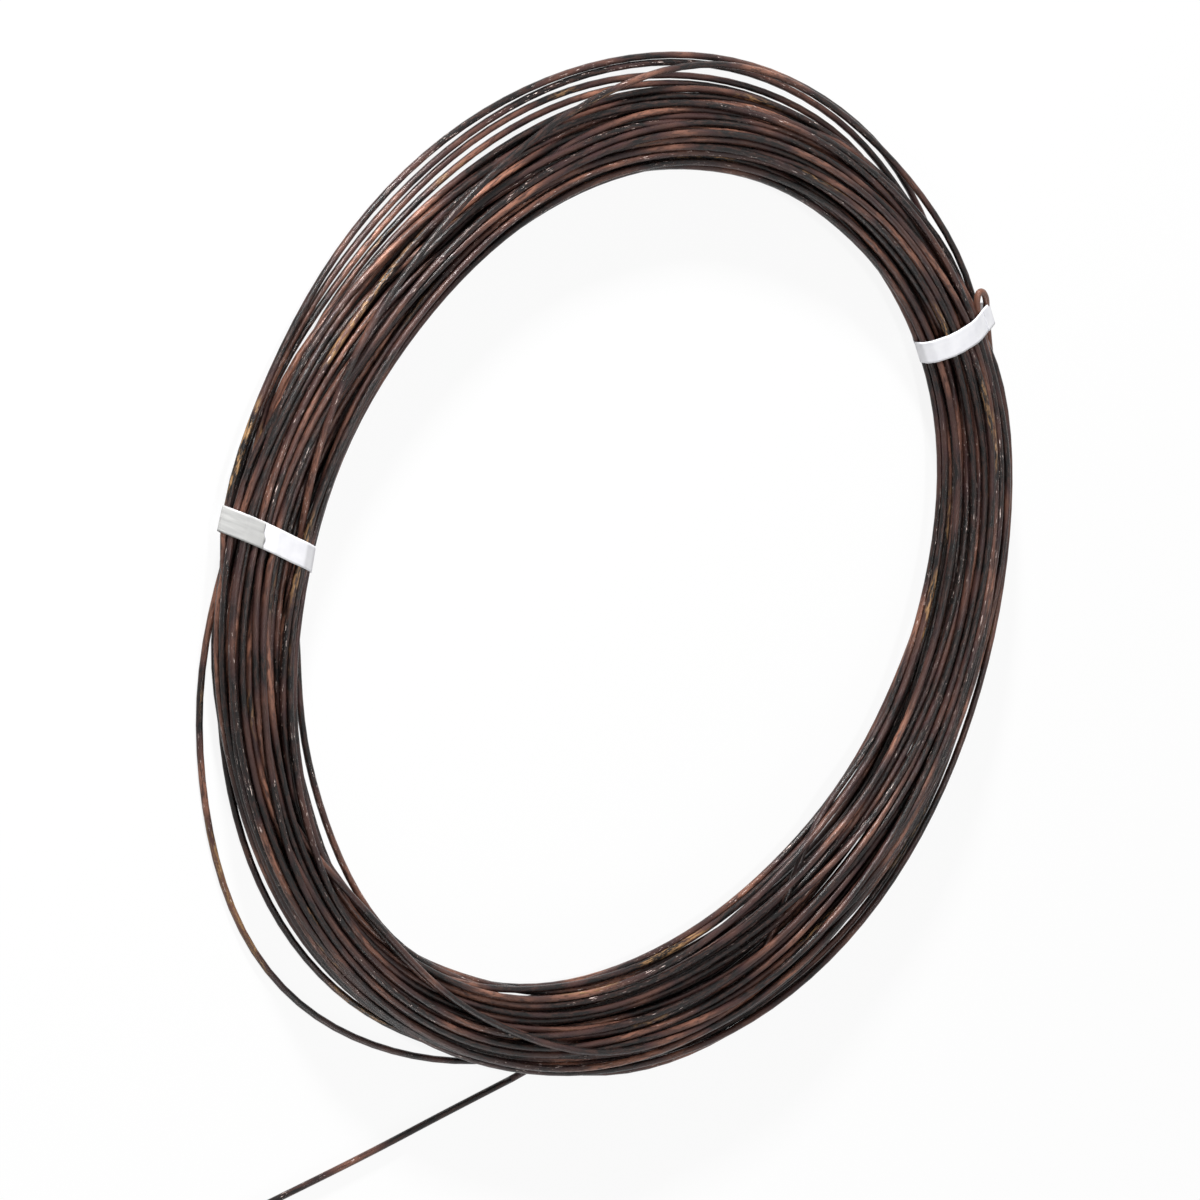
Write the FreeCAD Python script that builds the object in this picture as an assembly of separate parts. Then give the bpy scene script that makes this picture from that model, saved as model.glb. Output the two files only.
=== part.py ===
"""A coil of dark annealed copper wire, bound in two places, lying flat.

The origin is on the coil's axis at the level of the floor, and +Z is that axis. The near
side of the coil is towards -Y. All lengths are in millimetres and all angles in degrees,
counted from +X towards +Y. The wire is one piece: its wound turns, the turn that has sprung
out of them and the stub of its free end are one solid, and the rest of the free end is a
tube that starts on the stub's end face. Each binding is a strip of white tape.
"""

import FreeCAD
import Part

import math
import os

# The wire and its winding
WIRE_DIAMETER = 2.0
BORE_DIAMETER = 235.0
WINDING_WIDTH = 35.0  # from the bore to the outside, measured between the ridges
WINDING_HEIGHT = 14.0  # from the lowest ridge's root to the top ridge's root
SHOULDER_WIDTH = 7.0  # how far the section's slanted corners reach across the winding
SHOULDER_HEIGHT = 4.2  # and how far up or down
RIDGE_HEIGHT = 0.7  # how far a turn stands out from the groove beside it
LAND_WIDTH = 0.6  # the flat that each lowest turn rests on
TURN_PITCH = 2.15  # from one turn to the next along the section's outline
RIDGE_BULGE = 0.15  # of a ridge's side, how far it rounds out from straight

# The bindings, and how far each draws the winding in, at the bore and at the outside
TAPE_WIDTH = 7.3
TAPE_THICKNESS = 0.45
LEFT_TAPE_ANGLE = -80.8
LEFT_DRAW = 0.0
RIGHT_TAPE_ANGLE = 135.9
RIGHT_DRAW = 5.0
OUTER_DRAW_RADIUS = 200.0  # of the hollow that the outside takes towards a binding
BORE_DRAW_RADIUS = 60.0  # and of the bore's

# The turn that has sprung out
LOOSE_START_ANGLE = -77.5
LOOSE_MIDDLE_ANGLE = -33.0
LOOSE_END_ANGLE = 8.0
LOOSE_REACH = 5.2  # from the winding's outside to the loose turn's centreline
LOOSE_HEIGHT = 3.2  # of its centreline above the floor
LOOSE_TUCK = 2.2  # how deep its ends run inside the winding

# The free end, which lies on the floor: its route from the stub's end face outwards
STUB_TUCK = 1.0  # how far the stub runs in past the outermost turn on the floor
TAIL_ROUTE = [
    (148.8, 24.4),
    (162.7, 4.3),
    (178.0, -17.1),
    (192.6, -38.7),
    (205.4, -58.0),
]

BORE_RADIUS = BORE_DIAMETER / 2
OUTER_RADIUS = BORE_RADIUS + WINDING_WIDTH
WIRE_RADIUS = WIRE_DIAMETER / 2
ARC_SHARE = 0.45  # of the shorter run that a bend's tangent takes up
CUT_MARGIN = 10.0  # how far a cutting shape reaches past what it cuts


def vec(x, y, z=0.0):
    return FreeCAD.Vector(x, y, z)


def polar(radius, angle, z=0.0):
    """The point at this radius and angle about the coil's axis."""
    a = math.radians(angle)
    return vec(radius * math.cos(a), radius * math.sin(a), z)


def section_corners():
    """The section's eight corners at the ridges' roots as (radius, height), from the bore's
    lower end round by the outside to its upper end."""
    low = RIDGE_HEIGHT
    high = RIDGE_HEIGHT + WINDING_HEIGHT
    return [
        (BORE_RADIUS, low + SHOULDER_HEIGHT),
        (BORE_RADIUS + SHOULDER_WIDTH, low),
        (OUTER_RADIUS - SHOULDER_WIDTH, low),
        (OUTER_RADIUS, low + SHOULDER_HEIGHT),
        (OUTER_RADIUS, high - SHOULDER_HEIGHT),
        (OUTER_RADIUS - SHOULDER_WIDTH, high),
        (BORE_RADIUS + SHOULDER_WIDTH, high),
        (BORE_RADIUS, high - SHOULDER_HEIGHT),
    ]


def ridges(start, end, flat):
    """The edges of a row of turns from start to end, which stand out on the right-hand side.
    With flat, each is cut off to a land."""
    run = end - start
    count = max(1, round(run.Length / TURN_PITCH))
    step = run / count
    half_land = step * (LAND_WIDTH / 2 / step.Length)
    out = vec(run.z, 0, -run.x).normalize() * RIDGE_HEIGHT
    edges = []
    for i in range(count):
        a = start + step * i
        b = a + step
        crest = (a + b) / 2 + out
        if not flat:
            edges.append(Part.Arc(a, crest, b).toShape())
            continue
        land_start = crest - half_land
        land_end = crest + half_land
        edges.append(side_arc(a, land_start, out))
        edges.append(Part.LineSegment(land_start, land_end).toShape())
        edges.append(side_arc(land_end, b, out))
    return edges


def side_arc(a, b, out):
    """One side of a turn, a little rounder than the straight line from a to b."""
    bulge = (b - a).Length * RIDGE_BULGE
    across = vec((b - a).z, 0, -(b - a).x).normalize()
    if across.dot(out) < 0:
        across = across * -1
    return Part.Arc(a, (a + b) / 2 + across * bulge, b).toShape()


def winding():
    """The wound turns: the ridged section turned about the axis, with a plain bore."""
    corners = [vec(r, 0, z) for r, z in section_corners()]
    edges = []
    for i in range(len(corners) - 1):
        a, b = corners[i], corners[i + 1]
        lies_on_floor = abs(a.z - b.z) < 1e-6 and a.z < WINDING_HEIGHT / 2
        edges += ridges(a, b, lies_on_floor)
    edges.append(Part.LineSegment(corners[-1], corners[0]).toShape())
    face = Part.Face(Part.Wire(edges))
    return face.revolve(vec(0, 0, 0), vec(0, 0, 1), 360)


def waist_face(draw):
    """The section inside a binding: the ridges' roots, kept clear of the bore and drawn in."""
    corners = section_corners()
    inner = BORE_RADIUS + RIDGE_HEIGHT
    rise = RIDGE_HEIGHT * SHOULDER_HEIGHT / SHOULDER_WIDTH
    corners[0] = (inner, corners[0][1] - rise)
    corners[-1] = (inner, corners[-1][1] + rise)
    points = []
    for r, z in corners:
        inward = draw if r < (BORE_RADIUS + OUTER_RADIUS) / 2 else -draw
        points.append(vec(r + inward, -TAPE_WIDTH / 2, z))
    return Part.Face(Part.makePolygon(points + points[:1]))


def hollows(draw):
    """What a binding at angle 0 takes from the winding's outside and from its bore."""
    height = WINDING_HEIGHT + 2 * CUT_MARGIN
    beyond = OUTER_RADIUS + RIDGE_HEIGHT - draw + OUTER_DRAW_RADIUS
    within = BORE_RADIUS + draw - BORE_DRAW_RADIUS
    return [
        Part.makeCylinder(OUTER_DRAW_RADIUS, height, vec(beyond, 0, -CUT_MARGIN)),
        Part.makeCylinder(BORE_DRAW_RADIUS, height, vec(within, 0, -CUT_MARGIN)),
    ]


def placed(shape, angle):
    """The shape, made at angle 0, turned to this angle."""
    shape.rotate(vec(0, 0, 0), vec(0, 0, 1), angle)
    return shape


def tape_slab():
    """A block as wide as the tape that takes in the whole section at angle 0."""
    reach = WINDING_WIDTH + 2 * CUT_MARGIN
    height = WINDING_HEIGHT + 2 * CUT_MARGIN
    corner = vec(BORE_RADIUS - CUT_MARGIN, -TAPE_WIDTH / 2, -CUT_MARGIN)
    return Part.makeBox(reach, TAPE_WIDTH, height, corner)


def seat(angle, draw):
    """What is cut from the winding where a binding squeezes it."""
    waist = waist_face(draw).extrude(vec(0, TAPE_WIDTH, 0))
    cuts = [tape_slab().cut(waist)]
    if draw:
        cuts += hollows(draw)
    return [placed(cut, angle) for cut in cuts]


def tape(angle, draw):
    """One binding: a closed band round the waist."""
    waist = waist_face(draw)
    outer = waist.makeOffset2D(TAPE_THICKNESS)
    band = outer.extrude(vec(0, TAPE_WIDTH, 0)).cut(waist.extrude(vec(0, TAPE_WIDTH, 0)))
    return placed(band, angle)


def loose_turn():
    """The turn that has sprung out, from inside the winding round to inside it again."""
    start = polar(OUTER_RADIUS - LOOSE_TUCK, LOOSE_START_ANGLE, LOOSE_HEIGHT)
    middle = polar(OUTER_RADIUS + LOOSE_REACH, LOOSE_MIDDLE_ANGLE, LOOSE_HEIGHT)
    end = polar(OUTER_RADIUS - LOOSE_TUCK, LOOSE_END_ANGLE, LOOSE_HEIGHT)
    path = Part.Wire([Part.Arc(start, middle, end).toShape()])
    return swept(path)


def bent_path(points):
    """Straight runs through the points, joined by tangent arcs as large as the runs allow."""
    edges = []
    at = points[0]
    for i in range(1, len(points) - 1):
        before, corner, after = points[i - 1], points[i], points[i + 1]
        run_in, run_out = corner - before, after - corner
        turn = run_in.getAngle(run_out)
        cut = ARC_SHARE * min(run_in.Length, run_out.Length)
        radius = cut / math.tan(turn / 2)
        unit_in = vec(*run_in).normalize()
        unit_out = vec(*run_out).normalize()
        arc_start = corner - unit_in * cut
        arc_end = corner + unit_out * cut
        inward = (unit_out - unit_in).normalize()
        depth = radius / math.cos(turn / 2) - radius
        edges.append(Part.LineSegment(at, arc_start).toShape())
        edges.append(Part.Arc(arc_start, corner + inward * depth, arc_end).toShape())
        print(f"tail bend {i}: radius {radius:.0f} mm, turn {math.degrees(turn):.1f} degrees")
        at = arc_end
    edges.append(Part.LineSegment(at, points[-1]).toShape())
    return Part.Wire(edges)


def swept(path):
    """Wire of the full diameter along the path."""
    first = path.Edges[0]
    ring = Part.makeCircle(WIRE_RADIUS, first.valueAt(first.FirstParameter),
                           first.tangentAt(first.FirstParameter))
    return path.makePipeShell([Part.Wire([ring])], True, False)


def tail_points():
    return [vec(x, y, WIRE_RADIUS) for x, y in TAIL_ROUTE]


def stub():
    """The wire's free end where it comes out from under the winding: straight back from the
    tail's start to STUB_TUCK inside the outermost turn that lies on the floor."""
    exit_point, next_point = tail_points()[:2]
    back = (exit_point - next_point).normalize()
    inner_radius = OUTER_RADIUS - SHOULDER_WIDTH - STUB_TUCK
    approach = -(exit_point.x * back.x + exit_point.y * back.y)
    nearest = math.hypot(exit_point.x, exit_point.y) ** 2 - approach**2
    length = approach - math.sqrt(inner_radius**2 - nearest)
    return Part.makeCylinder(WIRE_RADIUS, length, exit_point + back * length, back * -1)


def wire_tail():
    path = bent_path(tail_points())
    tube = swept(path)
    expected = math.pi * WIRE_RADIUS**2 * path.Length
    print(f"tail: {path.Length:.1f} mm, volume {tube.Volume:.2f}, section x length {expected:.2f}")
    return tube


def wire_coil():
    body = winding()
    for angle, draw in BINDINGS.values():
        body = body.cut(seat(angle, draw))
    return body.fuse([loose_turn(), stub()]).removeSplitter()


BINDINGS = {
    "left_tape": (LEFT_TAPE_ANGLE, LEFT_DRAW),
    "right_tape": (RIGHT_TAPE_ANGLE, RIGHT_DRAW),
}

NODES = {
    "wire_coil": wire_coil,
    "wire_tail": wire_tail,
    "left_tape": lambda: tape(*BINDINGS["left_tape"]),
    "right_tape": lambda: tape(*BINDINGS["right_tape"]),
}


def main():
    os.makedirs("parts", exist_ok=True)
    for name, make in NODES.items():
        shape = make()
        solids = shape.Solids
        assert solids and all(s.isValid() for s in solids), name
        if len(solids) == 1:
            shape = solids[0]
        shape.exportStep(f"parts/{name}.step")
        box = shape.BoundBox
        print(f"{name}: {len(solids)} solid, {shape.Volume / 1000:.3f} cm3,"
              f" {box.XLength:.1f} x {box.YLength:.1f} x {box.ZLength:.1f} mm, lowest {box.ZMin:.3f}")


main()
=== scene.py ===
"""Looks of a coil of dark annealed copper wire that lies flat, bound in two places with tape.

The winding is one long wire. Each turn starts from a loose free shape, and the turns are then
pushed apart, so they nest, cross and fan out as wire does. Angles are in degrees, counted from
+X towards +Y about the coil's axis. Sizes are in metres, but the winding and the tapes are laid
out in millimetres and turned into metres when their meshes are made.
"""

import logging
import math
from dataclasses import dataclass, field
from enum import Enum

import bpy
import numpy as np
from mathutils import Matrix, Vector


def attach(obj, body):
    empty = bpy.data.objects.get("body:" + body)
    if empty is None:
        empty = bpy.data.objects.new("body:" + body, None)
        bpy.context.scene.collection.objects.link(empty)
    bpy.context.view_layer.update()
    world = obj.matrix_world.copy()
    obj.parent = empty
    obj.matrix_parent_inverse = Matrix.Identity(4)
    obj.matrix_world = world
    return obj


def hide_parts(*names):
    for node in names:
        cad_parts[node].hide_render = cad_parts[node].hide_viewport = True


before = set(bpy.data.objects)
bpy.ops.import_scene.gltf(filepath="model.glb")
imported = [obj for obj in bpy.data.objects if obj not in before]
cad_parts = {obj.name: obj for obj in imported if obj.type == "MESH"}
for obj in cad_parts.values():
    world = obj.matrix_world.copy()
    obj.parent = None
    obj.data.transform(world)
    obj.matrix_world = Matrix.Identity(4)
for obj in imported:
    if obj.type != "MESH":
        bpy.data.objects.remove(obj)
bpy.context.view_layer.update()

logging.basicConfig(level=logging.INFO, format="%(message)s")
log = logging.getLogger("coil")

BODY = "root"
SEED = 7
MM = 0.001
WIRE_SIDES = 12  # sides of the wire's round section
BAKE_ROW = 0.85  # metres of wire that each row of the bake map holds
FULL_TURN = 360


class Slot(Enum):
    """The record's material slots."""

    WIRE = "copper_wire"
    TAPE = "white_tape"


# ---- shader helpers


class Nodes:
    """A short way to write a material's node tree."""

    def __init__(self, name: str) -> None:
        """Make the material.

        Args:
            name: what the material is called.
        """
        self.material = bpy.data.materials.new(name)
        self.material.use_nodes = True
        self.tree = self.material.node_tree
        self.shader = self.tree.nodes["Principled BSDF"]

    def add(self, kind: str, **settings: object) -> bpy.types.Node:
        """Add a node.

        Args:
            kind: the node's type without its ShaderNode prefix.
            settings: its properties by name.

        Returns:
            The new node.
        """
        node = self.tree.nodes.new("ShaderNode" + kind)
        for key, value in settings.items():
            setattr(node, key, value)
        return node

    def link(self, source: bpy.types.NodeSocket, target: bpy.types.NodeSocket) -> None:
        """Join two sockets."""
        self.tree.links.new(source, target)

    def noise(self, vector: bpy.types.NodeSocket, scale: tuple[float, float, float],
              detail: float = 3.0, rough: float = 0.5) -> bpy.types.NodeSocket:
        """Noise that is stretched differently along each axis.

        Args:
            vector: the coordinates.
            scale: how many features fit in one unit of each axis.
            detail: the noise's octaves.
            rough: how strong the finer octaves are.

        Returns:
            The noise's socket, about 0.5 on average.
        """
        mapping = self.add("Mapping")
        mapping.inputs["Scale"].default_value = scale
        self.link(vector, mapping.inputs["Vector"])
        noise = self.add("TexNoise")
        noise.inputs["Scale"].default_value = 1.0
        noise.inputs["Detail"].default_value = detail
        noise.inputs["Roughness"].default_value = rough
        self.link(mapping.outputs["Vector"], noise.inputs["Vector"])
        return noise.outputs["Fac"]

    def ramp(self, value: bpy.types.NodeSocket,
             stops: list[tuple[float, tuple]]) -> bpy.types.NodeSocket:
        """A colour ramp.

        Args:
            value: what drives it.
            stops: its places and colours.

        Returns:
            The colour's socket.
        """
        node = self.add("ValToRGB")
        elements = node.color_ramp.elements
        while len(elements) < len(stops):
            elements.new(0.5)
        for element, (place, colour) in zip(elements, stops):
            element.position = place
            element.color = (*colour, 1.0)
        self.link(value, node.inputs["Fac"])
        return node.outputs["Color"]

    def mix(self, share: bpy.types.NodeSocket, a: object, b: object) -> bpy.types.NodeSocket:
        """Mix two colours.

        Args:
            share: how much of b there is.
            a: a colour or a socket.
            b: a colour or a socket.

        Returns:
            The mixed colour's socket.
        """
        node = self.add("Mix", data_type="RGBA")
        self.link(share, node.inputs["Factor"])
        for side, value in (("A", a), ("B", b)):
            socket = next(i for i in node.inputs if i.name == side and i.type == "RGBA")
            if isinstance(value, tuple):
                socket.default_value = (*value, 1.0)
            else:
                self.link(value, socket)
        return next(o for o in node.outputs if o.type == "RGBA")

    def span(self, value: bpy.types.NodeSocket, low: float, high: float, to_low: float = 0.0,
             to_high: float = 1.0) -> bpy.types.NodeSocket:
        """A value carried from one range to another and held within it.

        Args:
            value: the value.
            low: where the range starts.
            high: where it ends.
            to_low: what low becomes.
            to_high: what high becomes.

        Returns:
            The carried value's socket.
        """
        node = self.add("MapRange", interpolation_type="SMOOTHSTEP")
        for name, number in (("From Min", low), ("From Max", high), ("To Min", to_low),
                             ("To Max", to_high)):
            node.inputs[name].default_value = number
        self.link(value, node.inputs["Value"])
        return node.outputs["Result"]

    def times(self, a: bpy.types.NodeSocket, b: bpy.types.NodeSocket) -> bpy.types.NodeSocket:
        """The product of two values.

        Args:
            a: one value.
            b: the other.

        Returns:
            The product's socket.
        """
        node = self.add("Math", operation="MULTIPLY")
        self.link(a, node.inputs[0])
        self.link(b, node.inputs[1])
        return node.outputs["Value"]

    def along(self, vector: bpy.types.NodeSocket) -> bpy.types.NodeSocket:
        """How far along a UV map runs, without its share across.

        Args:
            vector: the UV map.

        Returns:
            The first value's socket.
        """
        parts = self.add("SeparateXYZ")
        self.link(vector, parts.inputs["Vector"])
        return parts.outputs["X"]

    def bump(self, height: bpy.types.NodeSocket, distance: float, strength: float = 0.5) -> None:
        """Roughen the surface.

        Args:
            height: the relief.
            distance: its depth in metres.
            strength: how much of it shows.
        """
        node = self.add("Bump")
        node.inputs["Distance"].default_value = distance
        node.inputs["Strength"].default_value = strength
        self.link(height, node.inputs["Height"])
        self.link(node.outputs["Normal"], self.shader.inputs["Normal"])


def looked_at(tree: bpy.types.NodeTree) -> bpy.types.NodeSocket:
    """Tell the rays that look at a thing from those that only light by it.

    Args:
        tree: the node tree to add to.

    Returns:
        1 for a camera, glossy or transmission ray, else 0.
    """
    path = tree.nodes.new("ShaderNodeLightPath")
    seen = path.outputs["Is Camera Ray"]
    for kind in ("Is Glossy Ray", "Is Transmission Ray"):
        either = tree.nodes.new("ShaderNodeMath")
        either.operation = "MAXIMUM"
        tree.links.new(seen, either.inputs[0])
        tree.links.new(path.outputs[kind], either.inputs[1])
        seen = either.outputs["Value"]
    return seen


@dataclass(frozen=True)
class PatinaFinish:
    """Annealed copper whose oxide runs from black to red-brown in stretches."""

    black: tuple = (0.007, 0.006, 0.006)
    plum: tuple = (0.034, 0.016, 0.016)
    brown: tuple = (0.080, 0.036, 0.027)
    copper: tuple = (0.25, 0.113, 0.074)
    gold: tuple = (0.30, 0.17, 0.075)
    handled: tuple = (0.185, 0.083, 0.055)
    # bright specks: bare copper where the oxide flaked off, and painted glints of light
    fleck_and_glint: tuple = (0.88, 0.72, 0.66)
    stretch_scale: tuple = (26.0, 0.35, 1.0)  # features a metre along, and round the wire
    mottle_scale: tuple = (210.0, 7.0, 1.0)
    patch_scale: tuple = (17.0, 0.6, 3.0)
    cluster_scale: tuple = (14.0, 0.9, 5.0)
    speck_and_glint_scale: tuple = (240.0, 15.0, 1.0)
    grain_scale: tuple = (460.0, 22.0, 1.0)
    grain_depth: float = 0.00025
    roughness: tuple = (0.16, 0.40)
    handled_length: float = 0.16
    handled_ease: float = 0.03
    handled_share: float = 0.8
    metallic: float = 0.1
    refraction: float = 1.4
    specular: float = 0.4

    def oxide(self, n: Nodes, run: bpy.types.NodeSocket) -> bpy.types.NodeSocket:
        """The oxide's colour, in stretches, mottled and with a few golden patches.

        Args:
            n: the material's nodes.
            run: the UV map Run.

        Returns:
            The colour's socket.
        """
        stretch = n.noise(run, self.stretch_scale, 2.0, 0.55)
        base = n.ramp(stretch, [(0.30, self.black), (0.46, self.black), (0.50, self.plum),
                                (0.56, self.brown), (0.68, self.copper)])
        mottle = n.span(n.noise(run, self.mottle_scale, 5.0, 0.7), 0.46, 0.60)
        tone = n.mix(mottle, base, n.mix(stretch, self.black, self.brown))
        patch = n.span(n.noise(run, self.patch_scale, 1.0), 0.66, 0.72)
        return n.mix(n.times(patch, mottle), tone, self.gold)

    def flecks_and_glints(self, n: Nodes, run: bpy.types.NodeSocket) -> bpy.types.NodeSocket:
        """Bright specks in clusters: bare copper where oxide flaked off, and painted glints.

        Args:
            n: the material's nodes.
            run: the UV map Run.

        Returns:
            The socket that gives 1 in a bright spot, else 0.
        """
        cluster = n.span(n.noise(run, self.cluster_scale, 2.0), 0.50, 0.60)
        # the bright specks, partly flaked oxide and partly painted glints
        speck_and_glint = n.span(n.noise(run, self.speck_and_glint_scale, 4.0, 0.75), 0.615, 0.655)
        return n.times(cluster, speck_and_glint)

    def material(self, wire_ends: float) -> bpy.types.Material:
        """Make the material.

        Args:
            wire_ends: how long the whole wire is, in metres; its last stretch is handled.

        Returns:
            A material that reads the UV map Run: metres along the wire, and the share of the
            way round it.
        """
        n = Nodes("annealed_copper")
        run = n.add("UVMap", uv_map="Run").outputs["UV"]
        tone = self.oxide(n, run)
        flecks_and_glints = self.flecks_and_glints(n, run)
        brown_from = wire_ends - self.handled_length
        handled = n.span(n.along(run), brown_from, brown_from + self.handled_ease, 0.0,
                         self.handled_share)
        tone = n.mix(handled, tone, self.handled)
        # the bright specks go over the oxide: bare copper and painted glints of light
        n.link(n.mix(flecks_and_glints, tone, self.fleck_and_glint), n.shader.inputs["Base Color"])
        grain = n.noise(run, self.grain_scale, 5.0, 0.7)
        n.link(n.span(grain, 0.3, 0.75, *self.roughness), n.shader.inputs["Roughness"])
        n.bump(grain, self.grain_depth)
        n.shader.inputs["Metallic"].default_value = self.metallic
        n.shader.inputs["IOR"].default_value = self.refraction
        n.shader.inputs["Specular IOR Level"].default_value = self.specular
        return n.material


@dataclass(frozen=True)
class TapeFinish:
    """Plain white tape, creased; its second layer has painted shade, darker in the creases."""

    name: str
    colour: tuple = (0.83, 0.83, 0.855)
    shade: tuple = (0.72, 0.72, 0.76)
    # painted shade on the tape's second layer, and darker painted shade in its creases
    lap_shade: tuple = (0.47, 0.47, 0.46)
    lap_crease_shade: tuple = (0.36, 0.36, 0.355)
    crease_scale: tuple = (90.0, 900.0, 1.0)  # features a metre along the strip and across
    cloud_scale: tuple = (160.0, 160.0, 1.0)
    crease_depth: float = 0.00008
    roughness: tuple = (0.42, 0.62)

    def material(self, lap_starts: float) -> bpy.types.Material:
        """Make the material.

        Args:
            lap_starts: how far along the strip its second layer, with its painted shade, starts, in
                metres.

        Returns:
            A material that reads the UV map Strip: metres along the strip and across it.
        """
        n = Nodes(self.name)
        strip = n.add("UVMap", uv_map="Strip").outputs["UV"]
        crease = n.noise(strip, self.crease_scale, 4.0, 0.6)
        cloud = n.noise(strip, self.cloud_scale)
        single = n.ramp(cloud, [(0.30, self.shade), (0.60, self.colour)])
        # the second layer: painted shade, darker in the creases
        lap_shade_tone = n.ramp(crease, [(0.35, self.lap_crease_shade), (0.65, self.lap_shade)])
        second = n.add("Math", operation="GREATER_THAN")
        second.inputs[1].default_value = lap_starts
        n.link(n.along(strip), second.inputs[0])
        colour = n.mix(second.outputs["Value"], single, lap_shade_tone)
        n.link(colour, n.shader.inputs["Base Color"])
        n.link(n.span(crease, 0.3, 0.7, *self.roughness), n.shader.inputs["Roughness"])
        n.bump(crease, self.crease_depth)
        return n.material


@dataclass(frozen=True)
class FloorFinish:
    """A white floor that keeps a faint shadow of what lies on it."""

    shadow_share: float = 0.1
    paint: tuple = (0.9, 0.9, 0.9, 1.0)
    light: tuple = (1.0, 1.0, 1.0, 1.0)
    roughness: float = 0.9

    def material(self) -> bpy.types.Material:
        """Make the material.

        Returns:
            White light where the camera, a gloss or a clear thing looks at it, mixed with plain
            white paint that takes the shadow.
        """
        n = Nodes("studio_floor")
        n.shader.inputs["Base Color"].default_value = self.paint
        n.shader.inputs["Roughness"].default_value = self.roughness
        glow = n.add("Emission")
        glow.inputs["Color"].default_value = self.light
        share = n.add("Math", operation="MULTIPLY")
        share.inputs[1].default_value = 1.0 - self.shadow_share
        n.link(looked_at(n.tree), share.inputs[0])
        blend = n.add("MixShader")
        n.link(share.outputs["Value"], blend.inputs["Fac"])
        n.link(n.shader.outputs["BSDF"], blend.inputs[1])
        n.link(glow.outputs["Emission"], blend.inputs[2])
        n.link(blend.outputs["Shader"], n.tree.nodes["Material Output"].inputs["Surface"])
        return n.material


# ---- studio


@dataclass
class Studio:
    """The camera, the lights, the floor and the white surroundings.

    The camera looks down at the coil from its elevation and is rolled about its own axis. across
    and up say where in the view the coil's centre sits.
    """

    elevation: float = 46.6
    roll: float = 108.0
    distance: float = 2.7
    view_width: float = 0.3432
    across: float = -0.00744
    up: float = 0.00726
    aim_height: float = 0.0077
    sensor_width: float = 36.0
    clip: tuple = (0.05, 50.0)
    floor_size: float = 6.0
    world_light: float = 0.1

    def axes(self) -> tuple[Vector, Vector, Vector]:
        """The view's right, up and back directions.

        Returns:
            Three unit vectors.
        """
        e, r = math.radians(self.elevation), math.radians(self.roll)
        level = Vector((1.0, 0.0, 0.0))
        rise = Vector((0.0, math.sin(e), math.cos(e)))
        right = level * math.cos(r) + rise * math.sin(r)
        up = rise * math.cos(r) - level * math.sin(r)
        return right, up, right.cross(up)

    def camera(self) -> None:
        """Make the camera, which looks down on the coil from a long way off."""
        right, up, back = self.axes()
        aim = Vector((0.0, 0.0, self.aim_height)) + right * self.across - up * self.up
        data = bpy.data.cameras.new("camera")
        data.sensor_width = self.sensor_width
        data.lens = data.sensor_width * self.distance / self.view_width
        data.clip_start, data.clip_end = self.clip
        camera = bpy.data.objects.new("camera", data)
        place = aim + back * self.distance
        turn = Matrix((right, up, back)).transposed().to_4x4()
        camera.matrix_world = Matrix.Translation(place) @ turn
        bpy.context.scene.collection.objects.link(camera)
        bpy.context.scene.camera = camera
        log.info("camera: %.1f m off, %.1f degrees up", self.distance, self.elevation)

    def lamp(self, name: str, towards: Vector, away: float, size: float, power: float) -> None:
        """A soft square lamp that faces the coil.

        Args:
            name: what the lamp is called.
            towards: the direction from the coil to the lamp.
            away: how far off it stands.
            size: the length of its side.
            power: in watts.
        """
        data = bpy.data.lights.new(name, "AREA")
        data.shape = "SQUARE"
        data.size = size
        data.energy = power
        lamp = bpy.data.objects.new(name, data)
        lamp.location = towards.normalized() * away
        lamp.rotation_euler = towards.to_track_quat("Z", "Y").to_euler()
        bpy.context.scene.collection.objects.link(lamp)
        log.info("%s: %.0f W", name, power)

    def floor(self) -> None:
        """Make the floor."""
        half = self.floor_size / 2
        mesh = bpy.data.meshes.new("floor")
        mesh.from_pydata([(-half, -half, 0), (half, -half, 0), (half, half, 0), (-half, half, 0)],
                         [], [(0, 1, 2, 3)])
        mesh.materials.append(FloorFinish().material())
        floor = bpy.data.objects.new("floor", mesh)
        bpy.context.scene.collection.objects.link(floor)
        log.info("floor: %.0f m wide", self.floor_size)

    def lights(self) -> None:
        """Make a small hard key from above the view and two softer fills."""
        right, up, back = self.axes()
        self.lamp("key", towards=up * 0.75 + back * 0.62, away=1.4, size=0.12, power=35.0)
        self.lamp("fill", towards=right * 0.5 + back * 0.8 - up * 0.1, away=1.6, size=0.2,
                  power=10.0)
        self.lamp("low_fill", towards=Vector((0.8, 0.45, 0.42)), away=1.6, size=0.6, power=6.0)

    def surroundings(self) -> None:
        """Make a world that looks white and gives only a little light."""
        world = bpy.data.worlds.new("white")
        world.use_nodes = True
        tree = world.node_tree
        background = tree.nodes["Background"]
        background.inputs["Color"].default_value = (1.0, 1.0, 1.0, 1.0)
        strength = tree.nodes.new("ShaderNodeMapRange")
        strength.inputs["To Min"].default_value = self.world_light
        strength.inputs["To Max"].default_value = 1.0
        tree.links.new(looked_at(tree), strength.inputs["Value"])
        tree.links.new(strength.outputs["Result"], background.inputs["Strength"])
        bpy.context.scene.world = world
        bpy.context.scene.view_settings.view_transform = "Standard"

    def build(self) -> None:
        """Make the floor, the lights and the white world."""
        self.floor()
        self.lights()
        self.surroundings()


# ---- wire


def unit(vectors: np.ndarray) -> np.ndarray:
    """Each row's direction."""
    return vectors / np.linalg.norm(vectors, axis=1)[:, None]


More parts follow.
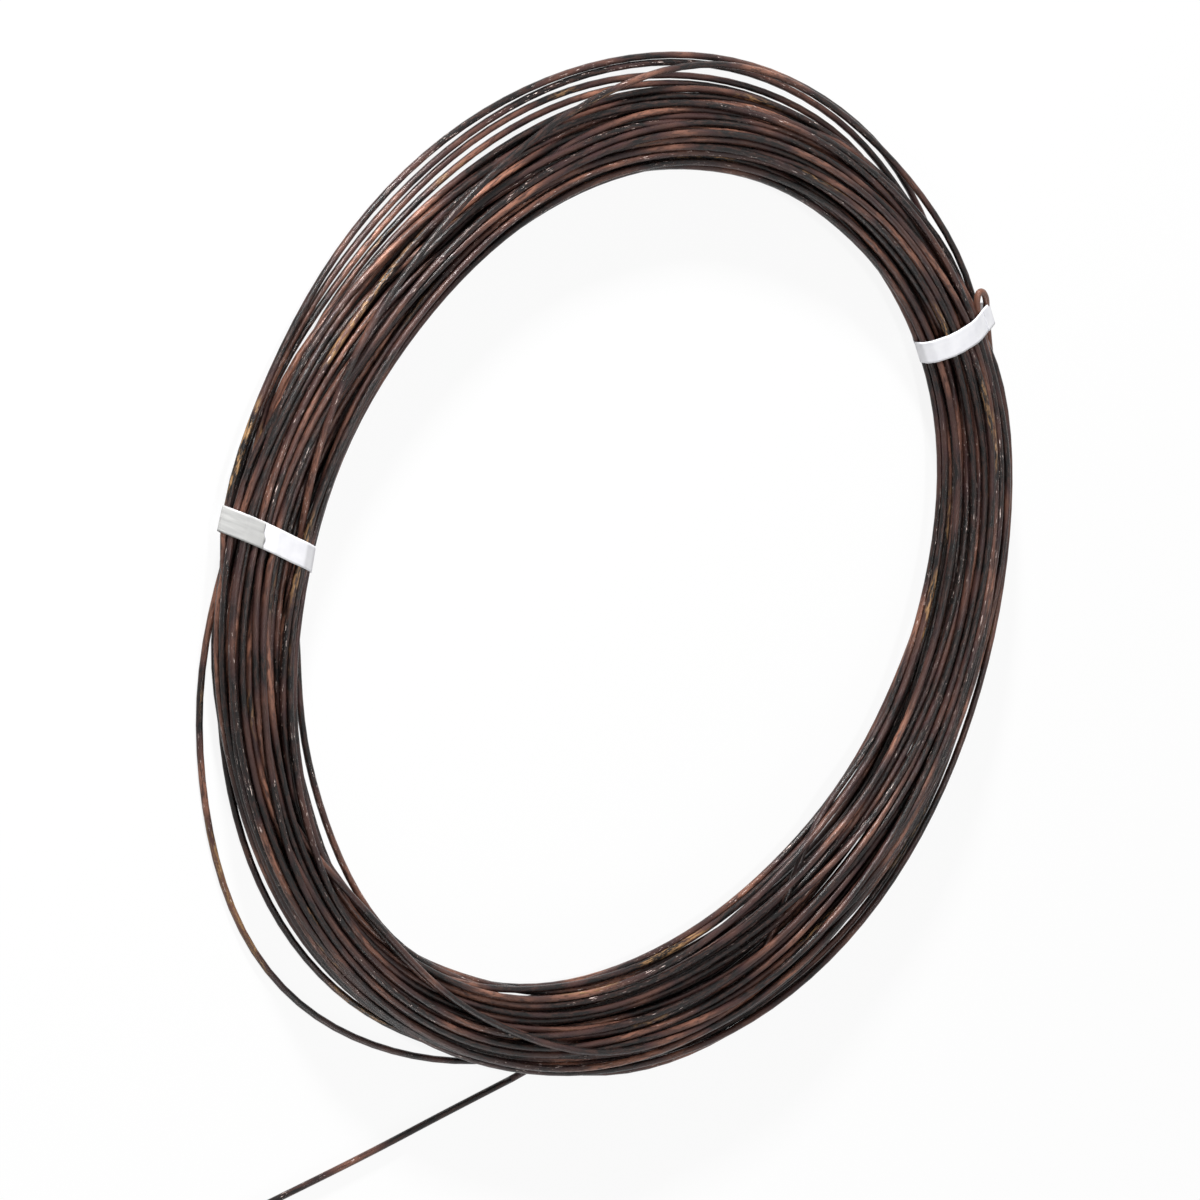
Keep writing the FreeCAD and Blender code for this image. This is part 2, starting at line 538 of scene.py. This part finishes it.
def cubic(x: np.ndarray, y: np.ndarray, at: np.ndarray) -> np.ndarray:
    """A smooth curve of values through a few places.

    Args:
        x: the places, growing.
        y: the values there.
        at: where it is wanted, within the places.

    Returns:
        The values.
    """
    slope = np.gradient(y, x)
    k = np.clip(np.searchsorted(x, at, side="right") - 1, 0, len(x) - 2)
    width = x[k + 1] - x[k]
    t = (at - x[k]) / width
    return ((1 + 2 * t) * (1 - t) ** 2 * y[k] + t * (1 - t) ** 2 * width * slope[k]
            + t * t * (3 - 2 * t) * y[k + 1] + t * t * (t - 1) * width * slope[k + 1])


def smooth_through(x: np.ndarray, y: np.ndarray, at: np.ndarray) -> np.ndarray:
    """The smooth open curve through the places; beyond its ends the end value holds."""
    return cubic(x, y, np.clip(at, x[0], x[-1]))


def round_the_ring(controls: dict[float, float], angles: np.ndarray) -> np.ndarray:
    """A smooth closed curve of values through a few angles.

    Args:
        controls: the value at each angle, in order, each from 0 to under 360.
        angles: where it is wanted.

    Returns:
        The value at each angle.
    """
    at = np.array(list(controls), float)
    value = np.array(list(controls.values()), float)
    three_rounds = np.concatenate([at - FULL_TURN, at, at + FULL_TURN])
    return cubic(three_rounds, np.tile(value, 3), np.mod(angles, FULL_TURN))


def soft_step(x: np.ndarray) -> np.ndarray:
    """A smooth rise from 0 at 0 to 1 at 1."""
    x = np.clip(x, 0.0, 1.0)
    return x * x * (3 - 2 * x)


def off_by(angles: np.ndarray, angle: float) -> np.ndarray:
    """How far round the ring each angle is from one angle, from 0 to 180."""
    return np.abs((angles - angle + 180) % FULL_TURN - 180)


def within(at: np.ndarray, middle: np.ndarray, oval: np.ndarray) -> np.ndarray:
    """The places brought inside an oval.

    Args:
        at: the places, as radius and height.
        middle: the oval's middle.
        oval: its two half sizes.

    Returns:
        The same places, with those beyond the oval moved to its edge.
    """
    away = at - middle
    beyond = np.maximum(np.linalg.norm(away / oval, axis=1), 1.0)
    return middle + away / beyond[:, None]


@dataclass
class Wire:
    """A round wire along a centreline, in metres, closed at both ends.

    started says how far along the whole wire the first point is.
    """

    name: str
    points: np.ndarray
    radius: float
    started: float
    bake_share: float = 0.98
    bake_margin: float = 0.04

    def surface(self) -> np.ndarray:
        """The section's corners at each point of the centreline, without twist.

        Returns:
            An array of points by sides by 3.
        """
        ahead = unit(np.gradient(self.points, axis=0))
        side = np.empty_like(self.points)
        first = np.cross(ahead[0], (0.0, 0.0, 1.0))
        side[0] = first / np.linalg.norm(first)
        for i in range(1, len(side)):
            carried = side[i - 1] - ahead[i] * (side[i - 1] @ ahead[i])
            side[i] = carried / np.linalg.norm(carried)
        above = np.cross(ahead, side)
        around = 2 * math.pi * np.arange(WIRE_SIDES) / WIRE_SIDES
        ring = side[:, None] * np.cos(around)[:, None] + above[:, None] * np.sin(around)[:, None]
        return self.points[:, None] + ring * self.radius

    def maps(self, i: np.ndarray, j: np.ndarray) -> dict[str, np.ndarray]:
        """The UV maps, corner by corner: the quads' first, then the two caps'.

        Args:
            i: each quad's first station.
            j: each quad's first side.

        Returns:
            Run, in metres along and the share of the way round, and OFBake, which lays the wire
            out in rows.
        """
        last = len(self.points) - 1
        steps = np.linalg.norm(np.diff(self.points, axis=0), axis=1)
        along = self.started + np.concatenate([[0.0], np.cumsum(steps)])
        corner_i = np.stack([i, i, i + 1, i + 1], -1).reshape(-1)
        corner_j = np.stack([j, j + 1, j + 1, j], -1).reshape(-1) / WIRE_SIDES
        caps = np.concatenate([np.zeros(WIRE_SIDES, int), np.full(WIRE_SIDES, last)])
        run = np.stack([np.concatenate([along[corner_i], along[caps]]),
                        np.concatenate([corner_j, np.zeros(2 * WIRE_SIDES)])], 1)
        rows = math.ceil(along[-1] / BAKE_ROW)
        row = np.floor(along[np.concatenate([i.reshape(-1), [0, last - 1]])] / BAKE_ROW)
        row = np.concatenate([np.repeat(row[:-2], 4), np.repeat(row[-2:], WIRE_SIDES)])
        flat = np.stack([(run[:, 0] / BAKE_ROW - row) * self.bake_share,
                         (row + self.bake_margin + run[:, 1] * (1 - 2 * self.bake_margin)) / rows],
                        1)
        return {"Run": run, "OFBake": flat}

    def build(self, finish: bpy.types.Material) -> bpy.types.Object:
        """Make the wire.

        Args:
            finish: its material.

        Returns:
            The piece.
        """
        count = len(self.points)
        i, j = np.meshgrid(np.arange(count - 1), np.arange(WIRE_SIDES), indexing="ij")
        k = (j + 1) % WIRE_SIDES
        quads = np.stack([i * WIRE_SIDES + j, i * WIRE_SIDES + k,
                          (i + 1) * WIRE_SIDES + k, (i + 1) * WIRE_SIDES + j], -1)
        faces = quads.reshape(-1, 4).tolist()
        faces.append(list(range(WIRE_SIDES))[::-1])
        faces.append(list(range((count - 1) * WIRE_SIDES, count * WIRE_SIDES)))
        mesh = bpy.data.meshes.new(self.name)
        mesh.from_pydata(self.surface().reshape(-1, 3).tolist(), [], faces)
        for title, uv in self.maps(i, j).items():
            layer = mesh.uv_layers.new(name=title, do_init=False)
            layer.uv.foreach_set("vector", uv.astype(np.float32).ravel())
        mesh.uv_layers.active = mesh.uv_layers["Run"]
        mesh.shade_smooth()
        mesh.materials.append(finish)
        piece = bpy.data.objects.new(self.name, mesh)
        bpy.context.scene.collection.objects.link(piece)
        return piece


@dataclass(frozen=True)
class Lead:
    """A turn that goes its own way for a stretch: where it runs, by angle, radius and height.

    firmness says how hard it holds that way, and ease over how many degrees it comes and goes.
    """

    turn: int
    route: tuple[tuple[float, float, float], ...]
    firmness: float = 0.35
    ease: float = 14.0


@dataclass(frozen=True)
class Tie:
    """Where a tape holds the turns: its angle, and the oval that their centrelines stay in."""

    angle: float
    middle: float
    half_width: float
    half_height: float
    reach: float = 4.0


@dataclass(frozen=True)
class Settling:
    """How the turns push each other apart. Shares are of what is asked for in one round."""

    rounds: int = 320
    room: float = 1.02  # the wires' spacing, in wire thicknesses
    push: float = 0.42
    shared_push: float = 1.6  # while each push is shared with the stations about it
    shared_until: float = 0.7  # share of the rounds
    shared_by: int = 11  # stations
    bend: float = 0.05
    bend_rounds: int = 4
    loose_hold: float = 0.012  # how hard a station with no lead holds its free shape
    led_hold: float = 0.05  # from here on a station counts as led
    led_reach: int = 15  # stations
    firm_hold: float = 0.8  # from here on a station is held to the last round
    hold_until: float = 0.85  # share of the rounds
    pull_in: float = 0.25
    side_room: float = 1.03  # the section's oval against the bundle's spread and height
    rise_room: float = 1.12


@dataclass
class Winding:
    """The wound turns, as one long wire. Lengths here are in millimetres.

    middle and spread say where the bundle runs and how wide it is, by angle. crowding draws its
    turns inward, and thinness lays its outer turns down on the floor. hook is how the wire's end
    turns back at the right tape, by angle, radius and height.
    """

    wire_radius: float = 1.0
    turns: int = 54
    per_turn: int = 120
    start_angle: float = 9.312
    end_angle: float = 132.3
    half_height: float = 6.5
    tape_lift: float = 0.25
    started: float = 0.1  # metres of wire in the free end, before the first turn
    order_chance: float = 3.0  # how many turns a turn strays from the order of winding
    rules: Settling = Settling()
    middle: dict = field(default_factory=lambda: {
        0: 135.4, 30: 134.6, 55: 134.6, 64: 134.4, 76: 135.4, 90: 134.8, 134: 135.8,
        150: 132.5, 170: 130.6, 207: 129.4, 245: 129.2, 265: 133.2, 280: 136.0, 310: 137.0,
        335: 137.4, 350: 136.0})
    spread: dict = field(default_factory=lambda: {
        0: 12.2, 30: 17.8, 55: 20.8, 64: 20.4, 76: 17.6, 90: 15.8, 134: 12.0, 150: 11.2,
        170: 11.4, 207: 11.6, 245: 12.2, 265: 15.0, 280: 15.6, 310: 10.8, 335: 9.4,
        350: 11.4})
    crowding: dict = field(default_factory=lambda: {
        0: 1, 60: 1, 134: 1, 170: 1, 210: 1.15, 245: 1.15, 280: 1, 320: 1})
    thinness: dict = field(default_factory=lambda: {
        0: 0, 60: 0, 134: 0, 165: 0.2, 205: 0.5, 245: 0.5, 280: 0.1, 320: 0})
    ties: tuple[Tie, ...] = (Tie(279.2, 135.6, 16.2, 6.7), Tie(135.9, 134.8, 11.4, 6.6))
    leads: tuple[Lead, ...] = (
        Lead(0, ((9.312, 150.79, 1), (13, 146.2, 1), (18, 141, 1), (26, 135.9, 1),
                 (38, 132.6, 1), (60, 131, 1)), 1.0, 8.0),
        Lead(20, ((262, 141, 1), (272, 143.6, 1.1), (280, 146.2, 1.3), (290, 149.1, 1),
                  (300, 151.3, 1), (310, 154.1, 1), (320, 157.3, 1), (330, 157.9, 1),
                  (340, 155.7, 1), (350, 151.7, 1), (360, 147.6, 1), (372, 143.8, 1),
                  (388, 141, 1))),
        Lead(14, ((290, 143.4, 1.2), (305, 144.4, 1.1), (320, 146.2, 1.1), (335, 146.4, 1.1),
                  (350, 145.4, 1.1), (364, 144.2, 1.2))),
        Lead(8, ((284, 123.4, 7), (298, 122.2, 8), (310, 122.2, 8.6), (322, 123.6, 9),
                 (335, 126.2, 9), (350, 126.4, 8.6), (364, 125.2, 8))),
        Lead(46, ((150, 147.8, 1), (160, 149, 1), (175, 149.8, 1), (190, 149.6, 1),
                  (205, 149.2, 1), (220, 149.2, 1), (235, 149.3, 1), (250, 148.6, 1.4),
                  (262, 148.7, 2.8), (272, 149.7, 5.2), (281, 151, 6.8))),
        Lead(38, ((152, 145.4, 1), (165, 146.6, 1), (180, 147.4, 1), (192, 147.4, 1),
                  (205, 147.1, 1), (220, 146.6, 1), (233, 145.6, 1), (248, 145.6, 1),
                  (262, 146, 1.6), (272, 147.2, 2.8), (281, 148.4, 4.2))),
        Lead(17, ((154, 142.4, 1), (165, 143.2, 1), (180, 143.8, 1), (192, 143.5, 1),
                  (205, 143.9, 1), (217, 144, 1), (230, 143.2, 1), (242, 142.4, 1),
                  (256, 143, 1.2), (270, 145.2, 1.8))),
        Lead(5, ((156, 140.2, 1), (168, 141, 1), (180, 141.4, 1), (195, 141.3, 1),
                 (210, 141, 1), (222, 140.4, 1), (234, 139.4, 1), (246, 139.6, 1),
                 (258, 140.6, 1.2), (272, 142.8, 1.6))),
        Lead(30, ((138, 146.2, 9.2), (145, 146.6, 9), (154, 147, 7.2), (166, 147.6, 5.2),
                  (180, 149.2, 4.4), (193, 147.6, 5), (207, 143.2, 9.4), (222, 140.6, 14),
                  (244, 136.2, 15), (262, 134.4, 14.6)), 0.6, 24.0),
        Lead(35, ((330, 127.5, 13), (345, 130, 14.4), (362, 134.5, 14.8), (378, 139, 14.4),
                  (394, 142, 13)), 0.15, 20.0),
        Lead(26, ((335, 128.5, 12), (352, 131.5, 13.4), (368, 136, 13.8), (384, 140, 13.2),
                  (400, 143, 12)), 0.15, 20.0),
        Lead(24, ((16, 120.8, 6), (30, 117.8, 6), (40, 116.6, 6), (50, 116, 6),
                  (60, 116.4, 6), (70, 117.6, 6), (80, 118.7, 6), (92, 119.9, 6))),
        Lead(9, ((54, 152, 7.4), (66, 152.1, 7.6), (76, 150.7, 7.6), (88, 148.4, 7.2))),
        Lead(12, ((134, 124.8, 3.2), (139.4, 123.6, 3), (145, 125, 3.2)), 0.7, 8.0),
        Lead(53, ((448, 142.4, 9.6), (470, 143.6, 10.8), (482, 143.8, 11.2), (492, 143.7, 11.5)),
             1.0, 30.0),
    )
    hook: tuple = ((135.9, 143.8, 11.9), (137.5, 144, 12.4), (138.7, 144.7, 12.8),
                   (139.2, 146.2, 12.8), (138.7, 147.8, 12.3), (137.5, 148.5, 11.5),
                   (135.9, 148.2, 10.4), (133, 147.6, 9), (130, 147, 8.2), (127.4, 146.4, 7.8))
    rng: np.random.Generator = field(default_factory=lambda: np.random.default_rng(SEED))
    at: np.ndarray | None = None
    line: np.ndarray | None = None

    def angles(self) -> np.ndarray:
        """The angle of every station, from the free end on, always growing."""
        total = self.turns * FULL_TURN + (self.end_angle - self.start_angle) % FULL_TURN
        return self.start_angle + np.arange(0, total, FULL_TURN / self.per_turn)

    def drift(self, count: int, reach: float) -> np.ndarray:
        """Smooth chance along the wire.

        Args:
            count: how many stations there are.
            reach: how many stations one wave takes up.

        Returns:
            Values with a spread of 1 about 0.
        """
        knots = self.rng.normal(size=int(count / reach) + 4)
        x = np.arange(count) / reach + 1
        k = x.astype(int)
        t = x - k
        a, b, c, d = knots[k - 1], knots[k], knots[k + 1], knots[np.minimum(k + 2, len(knots) - 1)]
        return 0.5 * (2 * b + (c - a) * t + (2 * a - 5 * b + 4 * c - d) * t**2
                      + (3 * b - a - 3 * c + d) * t**3)

    def seats(self) -> np.ndarray:
        """Where each turn lies in a round section of radius 1, nearly in the order of winding.

        The seats are spread evenly, as seeds in a sunflower. The winding fills them layer by
        layer from the floor up, to and fro.

        Returns:
            One (across, up) pair for each turn.
        """
        count = self.turns + 2
        layers = 4
        k = np.arange(count) + 0.5
        radius = np.sqrt(k / count)
        spin = k * math.pi * (3 - math.sqrt(5))
        seats = np.stack([radius * np.cos(spin), radius * np.sin(spin)], 1)
        layer = np.floor((seats[:, 1] + 1) / 2 * layers)
        sign = np.where(layer % 2 == 0, 1, -1)
        order = np.lexsort((seats[:, 0] * sign, layer))
        strayed = np.arange(count) + self.rng.normal(size=count) * self.order_chance
        return seats[order[np.argsort(strayed)]]

    def free_shape(self) -> np.ndarray:
        """Each station's radius and height before the turns push each other apart.

        Returns:
            An array of n pairs.
        """
        angles = self.angles()
        count = len(angles)
        seats = self.seats()
        at = np.arange(count) / self.per_turn
        k = at.astype(int)
        share = soft_step(at - k)
        seat = seats[k] * (1 - share)[:, None] + seats[k + 1] * share[:, None]
        across = seat[:, 0] + 0.13 * self.drift(count, 30) + 0.07 * self.drift(count, 14)
        up = seat[:, 1] + 0.22 * self.drift(count, 26)
        across = np.clip(across, -1, 1)
        crowding = round_the_ring(self.crowding, angles)
        across = 2 * ((across + 1) / 2) ** crowding - 1
        thin = round_the_ring(self.thinness, angles) * soft_step((across + 0.1) / 0.6)
        radius = round_the_ring(self.middle, angles) + across * round_the_ring(self.spread, angles)
        height = self.wire_radius + self.half_height * (1 + np.clip(up, -1, 1)) * (1 - 0.8 * thin)
        return np.stack([radius, height], 1)

    def led(self, shape: np.ndarray) -> tuple[np.ndarray, np.ndarray]:
        """Lay the leads into the free shape.

        Args:
            shape: each station's radius and height.

        Returns:
            The shape with the leads in it, and how firmly each station is held to it.
        """
        shape = shape.copy()
        hold = np.full(len(shape), self.rules.loose_hold)
        angles = self.angles()
        for lead in self.leads:
            route = np.array(lead.route)
            first, last = route[0, 0], route[-1, 0]
            where = angles - lead.turn * FULL_TURN
            near = (where > first - lead.ease) & (where < last + lead.ease)
            x = where[near]
            share = soft_step((x - first + lead.ease) / lead.ease)
            share *= soft_step((last + lead.ease - x) / lead.ease)
            for column in (0, 1):
                wanted = smooth_through(route[:, 0], route[:, column + 1], x)
                shape[near, column] += (wanted - shape[near, column]) * share
            hold[near] = np.maximum(hold[near], lead.firmness * share)
        return shape, hold

    def held_by_tapes(self, lowest: np.ndarray) -> list[tuple[np.ndarray, ...]]:
        """Which stations each tape holds, and lift them off the floor by the tape under them.

        Args:
            lowest: each station's lowest height, which is raised here.

        Returns:
            For each tape, the stations, the oval's middle and its two half sizes.
        """
        tied = []
        for tie in self.ties:
            held = off_by(self.angles(), tie.angle) < tie.reach
            lowest[held] += self.tape_lift
            middle = np.array([tie.middle, self.wire_radius + self.tape_lift + tie.half_height])
            tied.append((held, middle, np.array([tie.half_width, tie.half_height])))
        return tied

    def pushes(self, at: np.ndarray) -> tuple[np.ndarray, np.ndarray]:
        """How turns that are too near at the same angle push each other away.

        Args:
            at: each station's radius and height.

        Returns:
            Each station's push, and by how much each pair of stations is too near.
        """
        count, far_off = len(at), 1e4
        rows = math.ceil(count / self.per_turn)
        padded = np.full((rows * self.per_turn, 2), far_off)
        padded[count:, 0] += 100 * np.arange(len(padded) - count)
        padded[:count] = at
        grid = padded.reshape(rows, self.per_turn, 2)
        away = grid[:, None] - grid[None]
        far = np.sqrt((away**2).sum(-1))
        far[np.arange(rows), np.arange(rows)] = np.inf
        close = np.clip(2 * self.wire_radius * self.rules.room - far, 0, None)
        share = close / np.maximum(far, 1e-6)
        return (away * share[..., None]).sum(1).reshape(-1, 2)[:count], close

    def straightened(self, at: np.ndarray) -> np.ndarray:
        """Even out the wire's bends a little, as its stiffness does.

        Args:
            at: each station's radius and height.

        Returns:
            The same after the last round of evening out.
        """
        for _ in range(self.rules.bend_rounds):
            bend = at.copy()
            bend[2:-2] -= self.rules.bend * (at[:-4] - 4 * at[1:-3] + 6 * at[2:-2]
                                             - 4 * at[3:-1] + at[4:])
            at = bend
        return at

    def settle(self) -> None:
        """Push the turns apart, within the bundle's section, the tapes and the floor."""
        rules = self.rules
        target, hold = self.led(self.free_shape())
        angles = self.angles()
        count = len(angles)
        lowest = np.full(count, self.wire_radius)
        tied = self.held_by_tapes(lowest)
        middle = np.stack([round_the_ring(self.middle, angles),
                           np.full(count, self.wire_radius + self.half_height)], 1)
        oval = np.stack([round_the_ring(self.spread, angles) * rules.side_room,
                         np.full(count, self.half_height * rules.rise_room)], 1)
        free = np.convolve(hold > rules.led_hold, np.ones(rules.led_reach), "same") < 0.5
        firm = hold > rules.firm_hold
        target[:, 1] = np.maximum(target[:, 1], lowest)
        at = target.copy()
        shared = np.hanning(rules.shared_by) / np.hanning(rules.shared_by).sum()
        for step in range(rules.rounds):
            push, close = self.pushes(at)
            if step < rules.rounds * rules.shared_until:
                push = rules.shared_push * np.stack(
                    [np.convolve(push[:, c], shared, "same") for c in (0, 1)], 1)
            at = self.straightened(at + rules.push * push)
            if step < rules.rounds * rules.hold_until:
                at += hold[:, None] * (target - at)
            at[firm] += hold[firm, None] * (target[firm] - at[firm])
            at[free] += rules.pull_in * (within(at, middle, oval)[free] - at[free])
            for held, tie_middle, tie_oval in tied:
                at[held] = within(at[held], tie_middle, tie_oval)
            at[:, 1] = np.maximum(at[:, 1], lowest)
        self.at = at
        log.info("winding: deepest overlap %.2f mm, mean of the touching %.3f mm",
                 close.max(), close[close > 0].mean())

    def wind(self) -> None:
        """Settle the turns, hook the wire's end over and keep the centreline, in metres."""
        self.settle()
        wound = np.column_stack([self.angles(), self.at])
        turned = wound[-1, 0] // FULL_TURN * FULL_TURN
        ends = np.array([(a + turned, r, z) for a, r, z in self.hook])
        joined = np.vstack([wound[-2:], ends])
        k = np.arange(len(joined))
        fine = np.arange(1, len(joined) - 1 + 1e-9, 1 / 6)[1:]
        hook = np.column_stack([smooth_through(k, joined[:, c], fine) for c in range(3)])
        line = np.vstack([wound, hook])
        a = np.radians(line[:, 0])
        self.line = MM * np.stack([line[:, 1] * np.cos(a), line[:, 1] * np.sin(a), line[:, 2]], 1)

    def wire_ends(self) -> float:
        """How long the whole wire is, free end and all, in metres."""
        return self.started + float(np.linalg.norm(np.diff(self.line, axis=0), axis=1).sum())

    def build(self, finish: bpy.types.Material) -> bpy.types.Object:
        """Args:
            finish: the wire's material.

        Returns:
            The piece.
        """
        piece = Wire("wound_turns", self.line, self.wire_radius * MM, self.started).build(finish)
        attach(piece, BODY)
        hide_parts("wire_coil")
        return piece

    def crossing(self, angle: np.ndarray, turn: int) -> np.ndarray:
        """Where one turn is at these angles.

        Args:
            angle: in degrees, from 0 to 360.
            turn: which turn, from 0.

        Returns:
            Its radius and height at each angle.
        """
        angles = self.angles()
        at = angle + FULL_TURN * turn
        return np.stack([np.interp(at, angles, self.at[:, c]) for c in (0, 1)], -1)


@dataclass
class Tape:
    """One strip of tape drawn round the turns, its end laid over its start.

    Lengths are in millimetres. skew is how far the strip shifts round the ring for each
    millimetre outwards, start is where round the section it starts, and a flag says whether its
    second layer has painted shade.
    """

    name: str
    node: str
    tie: Tie
    finish: TapeFinish
    skew: float = 0.0
    start: float = -20.0
    lap: float = 12.0
    lap_gap: float = 0.05
    lap_ease: float = 3.0
    width: float = 7.3
    thickness: float = 0.18
    clearance: float = 0.06
    ragged: float = 0.0
    wobble: float = 0.012
    smoothing: float = 0.65
    shaded_lap: bool = False
    across: int = 12
    along: int = 260

    def outline(self, winding: Winding) -> np.ndarray:
        """The taut outline round every wire that the tape holds.

        Args:
            winding: the settled turns.

        Returns:
            The closed outline as (radius, height), from the start angle on.
        """
        offsets = np.linspace(-0.5, 0.5, 5) * self.width
        held = []
        for k in range(1, winding.turns):
            radius = winding.crossing(np.array(self.tie.angle), k)[0]
            shift = self.skew * (radius - self.tie.middle) + offsets
            held.append(winding.crossing(self.tie.angle + np.degrees(shift / radius), k))
        held += [np.array([p[1:]]) for p in winding.hook if abs(p[0] - self.tie.angle) < 1]
        held = np.vstack(held)
        turn = np.radians(self.start + np.arange(0, FULL_TURN, 1.5))
        facing = np.stack([np.cos(turn), np.sin(turn)], 1)
        furthest = held[np.argmax(held @ facing.T, axis=0)]
        return furthest + facing * (winding.wire_radius + self.clearance + self.thickness / 2)

    def strip(self, winding: Winding) -> tuple[np.ndarray, np.ndarray, np.ndarray, float]:
        """The strip's middle line, its second layer lifted over its first.

        Args:
            winding: the settled turns.

        Returns:
            The line as (radius, height), its direction and how far along it is at each place,
            and the girth of one layer.
        """
        loop = self.outline(winding)
        loop = np.vstack([loop, loop[:1]])
        run = np.concatenate([[0.0], np.cumsum(np.linalg.norm(np.diff(loop, axis=0), axis=1))])
        girth = run[-1]
        s = np.linspace(0, girth + self.lap, self.along)
        line = np.stack([np.interp(np.mod(s, girth), run, loop[:, c]) for c in (0, 1)], 1)
        kernel = np.hanning(9) / np.hanning(9).sum()
        padded = np.vstack([np.repeat(line[:1], 4, 0), line, np.repeat(line[-1:], 4, 0)])
        smooth = np.stack([np.convolve(padded[:, c], kernel, "valid") for c in (0, 1)], 1)
        line = (1 - self.smoothing) * line + self.smoothing * smooth
        ahead = unit(np.gradient(line, axis=0))
        out = np.stack([ahead[:, 1], -ahead[:, 0]], 1)
        share = soft_step((s - girth + self.lap_ease) / self.lap_ease)
        lift = (self.thickness + self.lap_gap) * share
        return line + out * lift[:, None], ahead, s, girth

    def corners(self, line: np.ndarray, ahead: np.ndarray, s: np.ndarray) -> tuple[list, list]:
        """The strip's corners, with a slight wander and a torn end.

        Args:
            line: its middle line, as (radius, height).
            ahead: the line's direction.
            s: how far along each place is.

        Returns:
            The corners in metres, and where each is along and across the strip.
        """
        rng = np.random.default_rng(SEED + 1)
        tear = self.ragged * np.convolve(rng.normal(size=self.across + 3), [0.3, 0.5, 0.3], "valid")
        wobble = np.cumsum(rng.normal(size=self.along)) * self.wobble
        wobble -= np.linspace(0, wobble[-1], self.along)
        verts, uvs = [], []
        for i in range(self.along):
            for j in range(self.across + 1):
                place, along = line[i], s[i]
                if i == self.along - 1:
                    place = place + ahead[i] * tear[j]
                    along += tear[j]
                shift = self.skew * (place[0] - self.tie.middle) + wobble[i]
                shift += (j / self.across - 0.5) * self.width
                a = math.radians(self.tie.angle) + shift / place[0]
                verts.append((place[0] * math.cos(a) * MM, place[0] * math.sin(a) * MM,
                              place[1] * MM))
                uvs.append((along * MM, j / self.across * self.width * MM))
        return verts, uvs

    def build(self, winding: Winding) -> bpy.types.Object:
        """Args:
            winding: the settled turns.

        Returns:
            The piece.
        """
        line, ahead, s, girth = self.strip(winding)
        verts, uvs = self.corners(line, ahead, s)
        step = self.across + 1
        faces = [(i * step + j, i * step + j + 1, (i + 1) * step + j + 1, (i + 1) * step + j)
                 for i in range(self.along - 1) for j in range(self.across)]
        mesh = bpy.data.meshes.new(self.name)
        mesh.from_pydata(verts, [], faces)
        layer = mesh.uv_layers.new(name="Strip")
        for corner in mesh.loops:
            layer.uv[corner.index].vector = uvs[corner.vertex_index]
        mesh.shade_smooth()
        # painted shade on the second layer only where asked for; else it starts past the strip's
        # end
        never = 2 * girth
        mesh.materials.append(self.finish.material((girth if self.shaded_lap else never) * MM))
        piece = bpy.data.objects.new(self.name, mesh)
        bpy.context.scene.collection.objects.link(piece)
        shell = piece.modifiers.new("thickness", "SOLIDIFY")
        shell.thickness = self.thickness * MM
        shell.offset = 0.0
        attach(piece, BODY)
        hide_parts(self.node)
        return piece


@dataclass
class FreeEnd:
    """The wire's free end, which lies on the floor. Lengths are in metres."""

    radius: float = 0.001
    fineness: int = 12
    route: tuple = (
        (0.1488, 0.0244, 0.001),
        (0.1627, 0.0043, 0.001),
        (0.1780, -0.0171, 0.001),
        (0.1926, -0.0387, 0.001),
        (0.2054, -0.0580, 0.001),
    )
    length: float = 0.0999

    def centreline(self) -> np.ndarray:
        """Points along the route's smooth curve, from its start outwards.

        Returns:
            An array of n points.
        """
        data = bpy.data.curves.new("tail_route", "CURVE")
        data.dimensions = "3D"
        spline = data.splines.new("NURBS")
        spline.points.add(len(self.route) - 1)
        for point, place in zip(spline.points, self.route):
            point.co = (*place, 1.0)
        spline.order_u = 3
        spline.use_endpoint_u = True
        spline.resolution_u = self.fineness
        holder = bpy.data.objects.new("tail_route", data)
        bpy.context.scene.collection.objects.link(holder)
        mesh = bpy.data.meshes.new_from_object(holder)
        line = np.array([v.co for v in mesh.vertices], float)
        bpy.data.objects.remove(holder)
        bpy.data.curves.remove(data)
        bpy.data.meshes.remove(mesh)
        return line

    def build(self, finish: bpy.types.Material) -> bpy.types.Object:
        """Args:
            finish: the wire's material.

        Returns:
            The piece.
        """
        line = self.centreline()
        piece = Wire("free_end", line, self.radius, started=0.0).build(finish)
        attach(piece, BODY)
        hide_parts("wire_tail")
        return piece


def report(piece: bpy.types.Object) -> None:
    """Log one finished piece."""
    log.info("%s: %d faces", piece.name, len(piece.data.polygons))


def main() -> None:
    """Build the camera, the free end, the winding, the tapes and the rest of the studio."""
    studio = Studio()
    studio.camera()
    winding = Winding()
    winding.wind()
    patina = PatinaFinish().material(winding.wire_ends())
    report(FreeEnd().build(patina))
    report(winding.build(patina))
    left, right = winding.ties
    # the left tape's second layer carries painted shade
    report(Tape("left_band", "left_tape", left, TapeFinish("left_band"), skew=-0.265,
                start=-35.0, lap=14.0, ragged=0.5, shaded_lap=True).build(winding))
    report(Tape("right_band", "right_tape", right, TapeFinish("right_band"), skew=-0.07,
                start=-25.0, lap=6.0).build(winding))
    studio.build()


if __name__ == "__main__":
    main()
